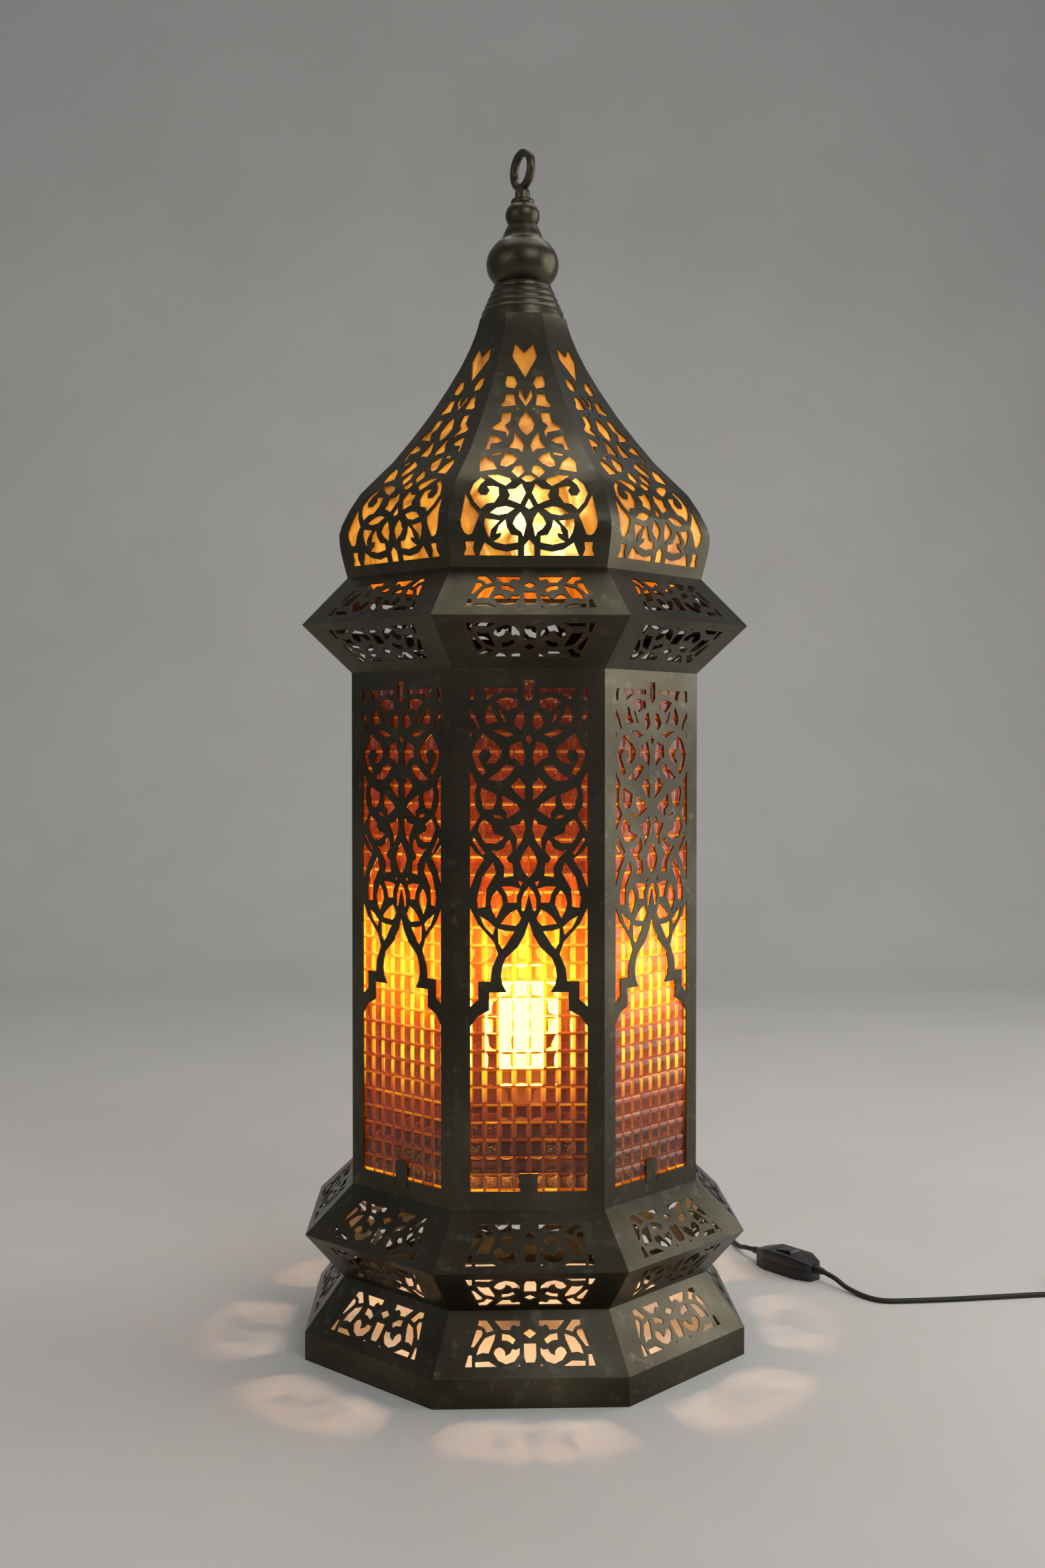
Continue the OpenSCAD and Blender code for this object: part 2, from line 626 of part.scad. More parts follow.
// Amber sheets behind the gores, from the flange up to the plain neck
module dome_liner() {
    behind = inward(smooth(dome_curve, 2), sheet_t + 0.4);
    kept = [for (q = behind) if (q[1] > dome_z + 5 && q[1] < dome_z + 240) q];
    part = concat([[behind[0][0], dome_z + 3]], kept);
    color(amber) for (k = [0:7]) at_face(k) bent_face(part, liner_t);
}

module dome_plate() {
    color(metal) translate([0, 0, dome_top - 5]) linear_extrude(2) difference() {
        octagon(neck_a - 0.8);
        circle(rod_r + 0.2, $fn = 32);
    }
}

// ---- Finial ----

rod_r = 3;
finial_base = dome_top + hair;
collar_h = 36.5;
collar_top_r = 25.3;
ball_h = 55.5;
bead_h = 19;

// Turned part with a bore for the rod. Corners are [radius, height, bow]
module turned(corners) {
    color(metal) rotate_extrude($fn = 72) polygon(outline(concat([[rod_r + 0.2, 0]], corners,
        [[rod_r + 0.2, corners[len(corners) - 1][1]]]), turned_error));
}

module finial_collar() {
    ribs = 5;
    lip = 5;
    r0 = neck_a - 1.2;
    translate([0, 0, finial_base]) turned(concat([[neck_a, 0, .1]], [
        for (i = [0:ribs])
            [r0 + (collar_top_r - r0) * i / ribs, lip + (collar_h - lip) * i / ribs, i < ribs ? .25 : 0]
    ]));
}

module finial_ball() {
    shoulder = [28.8, 33, .12];
    swell = (ball_r - (collar_top_r + shoulder[0]) / 2) / (shoulder[1] / 2);
    translate([0, 0, finial_base + collar_h + hair])
        turned([[collar_top_r, 0, swell], shoulder, [21, 40.3, -.12], [17.4, 48], [13.6, ball_h]]);
}

module finial_bead() {
    translate([0, 0, finial_base + collar_h + ball_h + 2 * hair]) turned([[13, 0, .44], [11, bead_h]]);
}

module hanging_loop() {
    base = finial_base + collar_h + ball_h + bead_h + 3 * hair;
    mid_r = (loop_d - loop_wire) / 2;
    color(metal) difference() {
        union() {
            translate([0, 0, base]) rotate_extrude($fn = 48)
                polygon(outline([
                    [0, 0], [10.4, 0, .3], [10.4, 4.4], [7.3, 5], [7, 12], [5.5, 15.5], [0, 15.5]
                ], turned_error));
            translate([0, 0, loop_z]) rotate([90, 0, -62]) rotate_extrude($fn = 64)
                translate([mid_r, 0]) circle(loop_wire / 2, $fn = 32);
        }
        translate([0, 0, base - 1]) cylinder(h = 8, r = rod_r + 0.2, $fn = 32);
    }
}

module finial_rod() {
    bottom = dome_top - 16;
    color(brass) translate([0, 0, bottom])
        cylinder(h = 16 + collar_h + ball_h + bead_h + 6, r = rod_r, $fn = 32);
}

module finial_nut() {
    color(brass) translate([0, 0, dome_top - 11]) difference() {
        cylinder(h = 5.5, r = 6.4, $fn = 6);
        translate([0, 0, -1]) cylinder(h = 8, r = rod_r + 0.1, $fn = 32);
    }
}

// ---- Lamp ----

strap_t = 3;
strap_w = 25;
strap_screw_x = body_a - 16;
nipple_r = 5;
nipple_bore = 3.2;
cap_h = 20;
shell_r = 14.2;
shell_z = strap_top + hair + cap_h;

module lamp_strap() {
    color(metal) difference() {
        translate([-body_a + 9, -strap_w / 2, strap_top - strap_t]) cube([2 * body_a - 18, strap_w, strap_t]);
        translate([0, 0, strap_top - 10]) cylinder(h = 20, r = nipple_r + 0.1, $fn = 40);
        for (side = [-1, 1]) translate([side * strap_screw_x, 0, strap_top - 10]) cylinder(h = 20, r = 2.2);
    }
}

module strap_screws() {
    color(brass) for (side = [-1, 1]) translate([side * strap_screw_x, 0, strap_top - strap_t]) {
        translate([0, 0, -2]) cylinder(h = 8, r = 2, $fn = 32);
        translate([0, 0, -2.6]) cylinder(h = 2.5, r1 = 2.6, r2 = 4, $fn = 32);
    }
}

// Hollow threaded tube that holds the lampholder to the strap, with its nut below
module holder_nipple() {
    color(brass) translate([0, 0, strap_top - 12]) difference() {
        union() {
            cylinder(h = 24, r = nipple_r - 0.1, $fn = 40);
            translate([0, 0, 5]) cylinder(h = 12 - strap_t - 5 - hair, r = 8, $fn = 6);
        }
        translate([0, 0, -1]) cylinder(h = 26, r = nipple_bore, $fn = 32);
    }
}

module lampholder() {
    color(black) translate([0, 0, strap_top + hair]) rotate_extrude($fn = 64)
        polygon(outline([
            [nipple_r, 0], [10, 0, .2], [holder_r, 12], [holder_r, cap_h],
            [holder_r - 2.5, cap_h], [holder_r - 2.5, 15], [nipple_r, 13]
        ], turned_error));
}

module lampholder_shell() {
    color(black) translate([0, 0, shell_z + hair]) rotate_extrude($fn = 64) polygon([
        [6, 0], [holder_r, 0], [holder_r, 18], [holder_r - 1, 20], [holder_r - 1, holder_top - shell_z],
        [shell_r, holder_top - shell_z], [shell_r, 8], [6, 8]
    ]);
}

module shade_ring() {
    color(black) translate([0, 0, shell_z + 22]) rotate_extrude($fn = 64) polygon([
        [holder_r - 0.9, 0], [holder_r + 3.5, 0], [holder_r + 3.5, 2.5],
        [holder_r + 0.6, 4], [holder_r + 0.6, 8], [holder_r - 0.9, 8]
    ]);
}

module bulb_cap() {
    bottom = shell_z + 9;
    color("silver") translate([0, 0, bottom]) rotate_extrude($fn = 64) polygon([
        [0, 0], [5, 0], [5, 2], [9, 4], [13.2, 7], [13.2, holder_top - bottom], [0, holder_top - bottom]
    ]);
}

// Opaque white neck and frosted globe
module bulb_globe() {
    h = bulb_top - bulb_neck_z;
    rise = 35;
    color("white") translate([0, 0, holder_top + hair]) rotate_extrude($fn = 72) polygon(outline(concat(
        [[0, 0], [13.2, 0], [15, 6]],
        [[21, bulb_neck_z - holder_top],
            [bulb_r * cos(rise), bulb_top - holder_top - bulb_r * (1 + sin(rise)), tan((90 + rise) / 4)],
            [0, bulb_top - holder_top]]
    ), turned_error));
}

// ---- Cord ----
// The lead drops from the nipple to the grommet in the rim. Outside it lies on the floor behind the
// lantern, passes through the switch and ends in a coil with the plug beside it.

lead_z = 12;
bush_r = 5.4;
sleeve_len = 25;
exit_y = foot_a + 0.5;
switch_at = [285, 150];
switch_turn = -53;
switch_sleeve = 10;
base_h = 12;
coil_at = [590, 97];
coil_mean = 28; // mean radius of the coil's turns
coil_rows = 3;
coil_layers = 2;
plug_entry = [coil_at[0] + coil_mean + cord_d, 116];

lead_route = [[0, 0, strap_top - 8], [0, 0, 118], [0, 4, 96], [0, 18, 70], [0, 42, 44], [0, 74, 24],
    [0, 110, 14], [0, 150, lead_z], [0, foot_a - 8, lead_z], [0, exit_y - 0.1, lead_z]];
switch_way = [cos(switch_turn), sin(switch_turn)];
switch_in = switch_at - switch_way * (switch_len / 2 + switch_sleeve);
switch_out = switch_at + switch_way * (switch_len / 2 + switch_sleeve);
lamp_route = [[0, exit_y, lead_z], [0, 212, lead_z], [0, 226, lead_z], [2, 245, 10.3], [10, 268, 4.5],
    [26, 292, 2.5], [52, 314, 2.5], [84, 330, 2.5], [120, 341, 2.5], [156, 340, 2.5], [190, 328, 2.5],
    [216, 306, 2.5], [234, 280, 2.5], [243, 250, 2.8], [246, 224, 5], [249, 205, 9.5],
    [switch_in[0], switch_in[1], base_h]];
plug_route = [[switch_out[0], switch_out[1], base_h], [323, 97.5, 9.5], [331, 84.6, 5], [339.5, 71.3, 2.9],
    [346.7, 60.2, 2.5], [354, 52.6, 2.5], [362.8, 48.6, 2.5], [374, 47.6, 2.5], [400, 48.8, 2.5],
    [430, 51, 2.5], [460, 54.4, 2.5], [490, 58, 2.5], [520, 61.4, 2.5], [548, 63.6, 2.5], [572, 64, 2.5]];

// Tube of radius r swept along a path. Across it, the ring starts square to direction up
module swept_tube(path, r, up) {
    ring = 8;
    last = len(path) - 1;
    way = [for (i = [0:last]) let (d = path[min(i + 1, last)] - path[max(i - 1, 0)]) d / norm(d)];
    side = [for (w = way) let (s = cross(w, up)) s / norm(s)];
    points = [for (i = [0:last], k = [0:ring - 1])
        let (w = 360 * (k + 0.5) / ring)
        path[i] + r * cos(w) * side[i] + r * sin(w) * cross(side[i], way[i])];
    faces = concat(
        [reversed([for (k = [0:ring - 1]) k])],
        [for (i = [0:last - 1], k = [0:ring - 1])
            [i * ring + k, i * ring + (k + 1) % ring, (i + 1) * ring + (k + 1) % ring, (i + 1) * ring + k]],
        [[for (k = [0:ring - 1]) last * ring + k]]
    );
    color(black) polyhedron(points, faces);
}

module inner_lead() {
    swept_tube(smooth(lead_route, 2), cord_r, [1, 0, 0]);
}

module cord_lamp_side() {
    swept_tube(smooth(lamp_route, 2), cord_r, [0, 0, 1]);
}

module cord_plug_side() {
    swept_tube(smooth(plug_route, 2), cord_r, [0, 0, 1]);
}

module cord_coil() {
    w = coil_rows * cord_d;
    color(black) translate([coil_at[0], coil_at[1], 0]) rotate_extrude($fn = 64)
        translate([coil_mean - w / 2, 0]) square([w, coil_layers * cord_d]);
}

// Rubber bush in the rim, with a tapered sleeve behind it
module cord_grommet() {
    lip = 1.6;
    bore = cord_r + 0.3;
    color(black) translate([0, foot_a - sheet_t - lip - hair, lead_z])
        rotate([-90, 0, 0]) rotate_extrude($fn = 48) polygon([
            [bore, 0], [7, 0], [7, lip], [bush_r, lip], [bush_r, lip + sheet_t + 2 * hair],
            [7, lip + sheet_t + 2 * hair], [6.6, 2 * lip + sheet_t + 1],
            [3.8, sleeve_len + lip + sheet_t], [bore, sleeve_len + lip + sheet_t]
        ]);
}

// ---- Switch ----

cover_h = 22;
end_h = 17.2;
roof_slope = 18;
sleeve_r = 4.4;
pivot_z = 19.5;
rocker_r = 10.5;
rocker_half = 7;
stub_r = 1.5;
shell_t = 2;

module at_switch() {
    translate([switch_at[0], switch_at[1], 0]) rotate(switch_turn) children();
}

module switch_outline(inset) {
    round_r = 5;
    end = switch_len / 2 - round_r;
    side = switch_w / 2 - round_r;
    offset(r = round_r - inset) polygon([
        [end, side - 5], [end - 13, side], [13 - end, side], [-end, side - 5],
        [-end, 5 - side], [13 - end, -side], [end - 13, -side], [end, 5 - side]
    ]);
}

// Side view of the cover: its top slopes down to both ends
module cover_profile() {
    end = switch_len / 2;
    polygon([[-end, base_h], [end, base_h], [end, end_h], [end - roof_slope, cover_h],
        [roof_slope - end, cover_h], [-end, end_h]]);
}

module switch_base() {
    color(black) at_switch() {
        difference() {
            linear_extrude(base_h - hair) switch_outline(0);
            translate([0, 0, shell_t]) linear_extrude(base_h) switch_outline(shell_t);
        }
        for (side = [-1, 1]) translate([side * switch_len / 2, 0, base_h]) rotate([0, side * 90, 0])
            translate([0, 0, hair]) cylinder(h = switch_sleeve - 2 * hair, r1 = sleeve_r, r2 = 3.4, $fn = 32);
    }
}

module switch_cover() {
    color(black) at_switch() difference() {
        union() {
            difference() {
                intersection() {
                    linear_extrude(cover_h) switch_outline(0);
                    rotate([90, 0, 0]) linear_extrude(switch_w, center = true) cover_profile();
                }
                linear_extrude(cover_h - shell_t) intersection() {
                    switch_outline(shell_t);
                    square([switch_len - 2 * roof_slope, switch_w], center = true);
                }
            }
            for (side = [-1, 1]) translate([-5, side * (rocker_half + 1.3) - 1, 15])
                cube([10, 2, cover_h - 15]);
        }
        translate([-rocker_r - 0.7, -rocker_half - 0.4, 1])
            cube([2 * rocker_r + 1.4, 2 * rocker_half + 0.8, 40]);
        translate([0, 0, pivot_z]) rotate([90, 0, 0])
            cylinder(h = 22, r = stub_r + running, center = true, $fn = 32);
        for (side = [-1, 1]) translate([side * switch_len / 2, 0, base_h]) rotate([0, 90, 0])
            cylinder(h = 6, r = sleeve_r + 0.3, center = true, $fn = 32);
    }
}

// The rocker rests tipped one way and clicks over to the other
rocker_tilt = 7;

module switch_rocker() {
    color(black) at_switch() translate([0, 0, pivot_z]) rotate([0, -rocker_tilt, 0]) {
        intersection() {
            rotate([90, 0, 0]) cylinder(h = 2 * rocker_half, r = rocker_r, center = true, $fn = 64);
            translate([-rocker_r, -rocker_half, -4]) cube([2 * rocker_r, 2 * rocker_half, 8.5]);
        }
        rotate([90, 0, 0]) cylinder(h = 2 * rocker_half + 4, r = stub_r, center = true, $fn = 32);
    }
}

// ---- Plug ----

plug_h = 13.7;
plug_tail = 14;
plug_len = 36;
pin_len = 19;
pin_gap = 18.6;

module at_plug() {
    translate([plug_entry[0], plug_entry[1], plug_h / 2]) rotate([-90, 0, 0]) children();
}

// Flat two-pin body that widens towards its pins, with a tapered sleeve at the cord
module plug_body() {
    back_half = 9;
    front_half = 17.5;
    color(black) at_plug() {
        cylinder(h = plug_tail + 1, r1 = 3.4, r2 = 5.5, $fn = 32);
        translate([0, 0, plug_tail]) rotate([90, 0, 0]) linear_extrude(plug_h, center = true) offset(r = 3)
            polygon([[3 - back_half, 3], [3 - front_half, 18], [3 - front_half, plug_len - 3],
                [front_half - 3, plug_len - 3], [front_half - 3, 18], [back_half - 3, 3]]);
    }
}

module plug_pins() {
    color(brass) at_plug() for (side = [-1, 1])
        translate([side * pin_gap / 2, 0, plug_tail + plug_len + hair])
            cylinder(h = pin_len, r = 2, $fn = 32);
}

// ---- Nodes ----

foot_skirt();
lower_ring_under();
lower_ring_top();
upper_ring_under();
upper_ring_top();
for (k = FIXED_FACES) at_face(k) panel();
for (k = FIXED_FACES) at_face(k) glass();
door_panel();
door_glass();
glass_clips();
door_glass_clips();
hinge_frame_leaves();
hinge_door_leaves();
hinge_pins();
latch_hook();
latch_pivot();
latch_eye();
bottom_frame();
top_frame();
dome_frame();
dome_gores();
dome_liner();
dome_plate();
finial_collar();
finial_ball();
finial_bead();
hanging_loop();
finial_rod();
finial_nut();
lamp_strap();
strap_screws();
holder_nipple();
lampholder();
lampholder_shell();
shade_ring();
bulb_cap();
bulb_globe();
inner_lead();
cord_grommet();
cord_lamp_side();
cord_plug_side();
cord_coil();
switch_base();
switch_cover();
switch_rocker();
plug_body();
plug_pins();
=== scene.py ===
"""Looks of the octagonal fretwork lantern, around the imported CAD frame. Metres, +Z up, front face at -Y."""

import json
import math
import random

import bmesh
import bpy
from mathutils import Matrix, Vector


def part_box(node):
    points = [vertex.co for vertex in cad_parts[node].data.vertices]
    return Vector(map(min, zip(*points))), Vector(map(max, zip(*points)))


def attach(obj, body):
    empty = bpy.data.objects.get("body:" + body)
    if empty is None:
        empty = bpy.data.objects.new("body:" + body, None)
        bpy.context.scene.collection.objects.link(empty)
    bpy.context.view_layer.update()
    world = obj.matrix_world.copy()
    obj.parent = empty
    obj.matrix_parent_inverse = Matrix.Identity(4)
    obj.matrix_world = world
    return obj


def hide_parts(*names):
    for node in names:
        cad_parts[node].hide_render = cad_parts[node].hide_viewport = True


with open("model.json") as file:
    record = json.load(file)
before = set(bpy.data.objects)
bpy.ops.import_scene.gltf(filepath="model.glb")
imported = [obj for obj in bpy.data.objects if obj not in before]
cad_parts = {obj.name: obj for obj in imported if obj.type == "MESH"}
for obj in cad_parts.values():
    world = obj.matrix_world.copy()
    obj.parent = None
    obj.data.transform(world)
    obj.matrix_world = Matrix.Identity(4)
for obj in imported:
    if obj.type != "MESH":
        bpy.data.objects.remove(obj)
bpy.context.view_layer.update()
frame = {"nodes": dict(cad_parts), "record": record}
BODY, DOOR, HOOK, ROCKER = "lantern", "door", "hook", "rocker"
FACES = ["front", "front_right", "right", "back_right", "back", "back_left", "left", "front_left"]
DOOR_FACE = 4
FACE_TURN = math.pi / 4
MM = 0.001
BULB_AT = (0, 0, 0.288)
ABOVE_BULB = (0, 0, 0.368)
WINDOW_BOTTOM = 170.5 * MM


# ---- Camera ----

CAMERA_AT = Vector((-0.054, -1.55, 0.548))
CAMERA_DOWN = math.radians(1.14)
CAMERA_LENS = 37.5


def make_camera():
    """Eye level just below the upper ring, a little left of the front face."""
    camera = bpy.data.objects.new("camera", bpy.data.cameras.new("camera"))
    bpy.context.scene.collection.objects.link(camera)
    camera.location = CAMERA_AT
    camera.rotation_euler = (math.pi / 2 - CAMERA_DOWN, 0, -math.atan2(-CAMERA_AT.x, -CAMERA_AT.y))
    camera.data.lens = CAMERA_LENS
    camera.data.sensor_width = 36
    camera.data.clip_start = 0.01
    bpy.context.scene.camera = camera


# ---- Materials ----

class Shader:
    """A node material with one principled shader, and short ways to wire it."""

    def __init__(self, name):
        self.material = bpy.data.materials.new(name)
        self.material.use_nodes = True
        self.tree = self.material.node_tree
        self.main = self.tree.nodes["Principled BSDF"]
        self.place = self.node("ShaderNodeTexCoord").outputs["Object"]

    def node(self, kind, **values):
        made = self.tree.nodes.new(kind)
        for key, value in values.items():
            setattr(made, key, value)
        return made

    def link(self, source, target):
        self.tree.links.new(source, target)

    def set(self, **values):
        for key, value in values.items():
            self.main.inputs[key.replace("_", " ")].default_value = value

    def stretched(self, scale):
        """Object coordinates stretched by scale along each axis."""
        mapping = self.node("ShaderNodeMapping")
        mapping.inputs["Scale"].default_value = scale
        self.link(self.place, mapping.inputs["Vector"])
        return mapping.outputs["Vector"]

    def noise(self, scale, detail=4.0, roughness=0.55, vector=None, distortion=0.0):
        made = self.node("ShaderNodeTexNoise")
        made.inputs["Scale"].default_value = scale
        made.inputs["Detail"].default_value = detail
        made.inputs["Roughness"].default_value = roughness
        made.inputs["Distortion"].default_value = distortion
        self.link(vector or self.place, made.inputs["Vector"])
        return made.outputs["Fac"]

    def ramp(self, value, *stops):
        """Colours by value: stops are (place, colour)."""
        made = self.node("ShaderNodeValToRGB")
        elements = made.color_ramp.elements
        while len(elements) < len(stops):
            elements.new(0.5)
        for element, (place, colour) in zip(elements, stops):
            element.position = place
            element.color = (*colour, 1)
        self.link(value, made.inputs["Fac"])
        return made.outputs["Color"]

    def range(self, value, low, high, to_low, to_high):
        """Value turned evenly from low..high into to_low..to_high, and held beyond them."""
        made = self.node("ShaderNodeMapRange")
        for key, number in zip(("From Min", "From Max", "To Min", "To Max"), (low, high, to_low, to_high)):
            made.inputs[key].default_value = number
        self.link(value, made.inputs["Value"])
        return made.outputs["Result"]

    def math(self, operation, a, b):
        """One math node. Each of a and b is a number or a socket."""
        made = self.node("ShaderNodeMath", operation=operation)
        for value, target in zip((a, b), made.inputs):
            if isinstance(value, (int, float)):
                target.default_value = value
            else:
                self.link(value, target)
        return made.outputs["Value"]

    def mix(self, share, a, b, blend="MIX"):
        """Colour a turned into b by share."""
        made = self.node("ShaderNodeMix", data_type="RGBA", blend_type=blend)
        for value, key in ((share, 0), (a, 6), (b, 7)):
            if isinstance(value, (int, float)):
                made.inputs[key].default_value = value
            elif isinstance(value, tuple):
                made.inputs[key].default_value = (*value, 1)
            else:
                self.link(value, made.inputs[key])
        return made.outputs[2]

    def times(self, first, *others):
        """Product of numbers and sockets."""
        for other in others:
            first = self.math("MULTIPLY", first, other)
        return first

    def axes(self):
        """Object coordinates as separate X, Y and Z sockets."""
        parts = self.node("ShaderNodeSeparateXYZ")
        self.link(self.place, parts.inputs["Vector"])
        return parts.outputs

    def attribute(self, name):
        return self.node("ShaderNodeAttribute", attribute_name=name).outputs["Fac"]

    def from_middle(self, share):
        """How far a 0 to 1 share is from its middle."""
        return self.math("ABSOLUTE", self.math("SUBTRACT", share, 0.5), 0)

    def closeness(self, point, near, far):
        """1 near a point and 0 beyond far, falling evenly."""
        offset = self.node("ShaderNodeVectorMath", operation="DISTANCE")
        self.link(self.place, offset.inputs[0])
        offset.inputs[1].default_value = point
        return self.range(offset.outputs["Value"], near, far, 1, 0)

    def bump(self, height, strength, distance):
        made = self.node("ShaderNodeBump")
        made.inputs["Strength"].default_value = strength
        made.inputs["Distance"].default_value = distance
        self.link(height, made.inputs["Height"])
        self.link(made.outputs["Normal"], self.main.inputs["Normal"])


def antique_metal():
    """Satin antique pewter with an olive cast: soft clouds of patina, tiny pits and a fine grain."""
    s = Shader("antique_metal")
    clouds = s.noise(9, 5, 0.55)
    mottle = s.noise(70, 4, 0.6)
    grain = s.noise(1200, 2)
    base = s.ramp(clouds, (0.3, (0.036, 0.031, 0.020)), (0.52, (0.062, 0.055, 0.036)),
                  (0.74, (0.102, 0.091, 0.062)))
    worn = s.range(mottle, 0.58, 0.72, 0, 0.45)
    s.link(s.mix(worn, base, (0.150, 0.140, 0.105)), s.main.inputs["Base Color"])
    rough = s.math("ADD", s.range(clouds, 0.3, 0.7, 0.40, 0.28), s.range(grain, 0.3, 0.7, -0.05, 0.05))
    s.link(rough, s.main.inputs["Roughness"])
    s.set(Metallic=0.9)
    s.bump(s.math("ADD", s.times(grain, 0.3), mottle), 0.18, 0.0004)
    return s.material


def aged_brass():
    """Brass gone brown in its tarnished patches."""
    s = Shader("aged_brass")
    tarnish = s.noise(120, 5, 0.6)
    colour = s.ramp(tarnish, (0.32, (0.10, 0.065, 0.03)), (0.55, (0.34, 0.23, 0.10)),
                    (0.75, (0.52, 0.37, 0.17)))
    s.link(colour, s.main.inputs["Base Color"])
    s.link(s.range(tarnish, 0.3, 0.7, 0.5, 0.26), s.main.inputs["Roughness"])
    s.set(Metallic=1.0)
    s.bump(s.noise(1400, 2), 0.2, 0.0002)
    return s.material


def black_plastic():
    """Moulded black plastic with a fine spark-eroded texture."""
    s = Shader("black_plastic")
    mottle = s.noise(60, 3)
    s.link(s.ramp(mottle, (0.35, (0.010, 0.010, 0.011)), (0.7, (0.020, 0.019, 0.018))),
           s.main.inputs["Base Color"])
    s.link(s.range(mottle, 0.3, 0.7, 0.36, 0.5), s.main.inputs["Roughness"])
    s.bump(s.noise(2600, 2), 0.35, 0.00015)
    return s.material


def black_cord():
    """Matt black flex with faint scuffs along it."""
    s = Shader("black_cord")
    dust = s.noise(240, 4, 0.6)
    colour = s.ramp(dust, (0.4, (0.008, 0.008, 0.008)), (0.75, (0.026, 0.024, 0.022)))
    s.link(colour, s.main.inputs["Base Color"])
    s.link(s.range(dust, 0.3, 0.7, 0.5, 0.68), s.main.inputs["Roughness"])
    s.bump(s.noise(1800, 2), 0.3, 0.0002)
    return s.material


def bright_metal(name, dark, light):
    """Plated metal with light wear between two colours."""
    s = Shader(name)
    wear = s.noise(300, 4)
    s.link(s.ramp(wear, (0.3, dark), (0.7, light)), s.main.inputs["Base Color"])
    s.link(s.range(wear, 0.3, 0.7, 0.3, 0.18), s.main.inputs["Roughness"])
    s.set(Metallic=1.0)
    s.bump(s.noise(1500, 2), 0.12, 0.0002)
    return s.material


# Heights in the glowing materials are metres above the floor, and nearness is metres from the bulb. The glass
# and the liner have a painted glow; only the bulb is a lamp.

def amber_glass():
    """Deep amber pressed glass with a painted glow standing in for the bulb's light: each tile's shoulders
    painted bright where they would catch it, its middle left deep red.
    """
    s = Shader("amber_glass")
    tile = s.attribute("tile")
    across = s.from_middle(s.attribute("across"))
    up = s.attribute("up")
    z = s.axes()["Z"]
    cast = s.math("ADD", s.times(s.noise(30, 3), 0.5), s.times(tile, 0.5))
    s.link(s.ramp(cast, (0.2, (0.49, 0.16, 0.022)), (0.8, (0.61, 0.24, 0.040))), s.main.inputs["Base Color"])
    s.set(Transmission_Weight=1.0, IOR=1.5, Roughness=0.02, Specular_IOR_Level=0.16)
    # Painted glow: emission that stands in for the bulb's light on the glass, which is no lamp.
    glow = s.math("ADD", s.math("ADD", painted_core_glow(s, tile, z), painted_shoulder_glints(s, tile, across, up, z)), 0.006)
    glow = s.math("ADD", glow, painted_lower_edge_line(s, tile, across, z))
    colour = s.ramp(glow, (0.0, (0.80, 0.09, 0.003)), (0.4, (0.95, 0.19, 0.006)), (0.95, (1.0, 0.56, 0.02)))
    s.link(colour, s.main.inputs["Emission Color"])
    s.link(glow, s.main.inputs["Emission Strength"])
    s.bump(s.noise(160, 3, 0.5, s.stretched((1, 1, 0.5))), 0.06, 0.001)
    return s.material


def painted_shoulder_glints(s, tile, across, up, z):
    """Painted highlights for the light caught by the tiles' edges: upright bars level with the bulb, and
    rungs above and below it.
    """
    # Painted highlights: emission placed by height and nearness to the bulb, not light the renderer carries.
    level = s.times(s.range(z, 0.24, 0.27, 0.3, 1), s.range(z, 0.36, 0.43, 1, 0.1))
    bars = s.times(s.range(across, 0.27, 0.36, 0, 1), s.range(s.from_middle(up), 0.36, 0.47, 1, 0.1), level)
    above = s.range(z, 0.27, 0.30, 0, 1)
    lower = s.times(above, s.range(up, 0.10, 0.19, 1, 0))
    upper = s.times(s.math("SUBTRACT", 1, above), s.range(up, 0.83, 0.91, 0, 1))
    rungs = s.times(s.math("ADD", lower, upper), s.range(across, 0.41, 0.47, 1, 0.15),
                    s.range(level, 0, 1, 1, 0.25))
    return s.times(s.math("MAXIMUM", rungs, bars), s.range(tile, 0, 1, 0.6, 1.5),
                   s.math("POWER", s.closeness(BULB_AT, 0.15, 0.42), 1.4), s.range(z, 0.20, 0.275, 0.22, 1))


def painted_core_glow(s, tile, z):
    """Painted glow of the bulb seen through the glass, and a painted reflection of it in the tiles above it.
    """
    streaks = s.range(s.noise(90, 2, 0.5, s.stretched((1, 1, 0.2))), 0.35, 0.65, 0.7, 1.2)
    near = s.times(s.math("POWER", s.closeness(BULB_AT, 0.15, 0.40), 2.0), s.range(z, 0.29, 0.38, 0.10, 0.36))
    # Painted reflection of the bulb: a bright patch on the tiles near a point above the bulb.
    painted_reflection = s.times(s.closeness(ABOVE_BULB, 0.158, 0.170), 0.55)
    return s.times(s.math("ADD", near, painted_reflection), s.times(streaks, s.range(tile, 0, 1, 0.6, 1.15)),
                   s.range(z, 0.21, 0.275, 0.10, 1))


def painted_lower_edge_line(s, tile, across, z):
    """A thin painted highlight line where light leaves the panes' lower edge, just above the trays' bottom
    tabs.
    """
    line = s.times(s.range(z, WINDOW_BOTTOM - 0.5 * MM, WINDOW_BOTTOM + 0.3 * MM, 0, 1),
                   s.range(z, WINDOW_BOTTOM + 1.7 * MM, WINDOW_BOTTOM + 2.9 * MM, 1, 0))
    return s.times(line, s.range(across, 0.38, 0.46, 1, 0), s.range(tile, 0, 1, 0.2, 1))


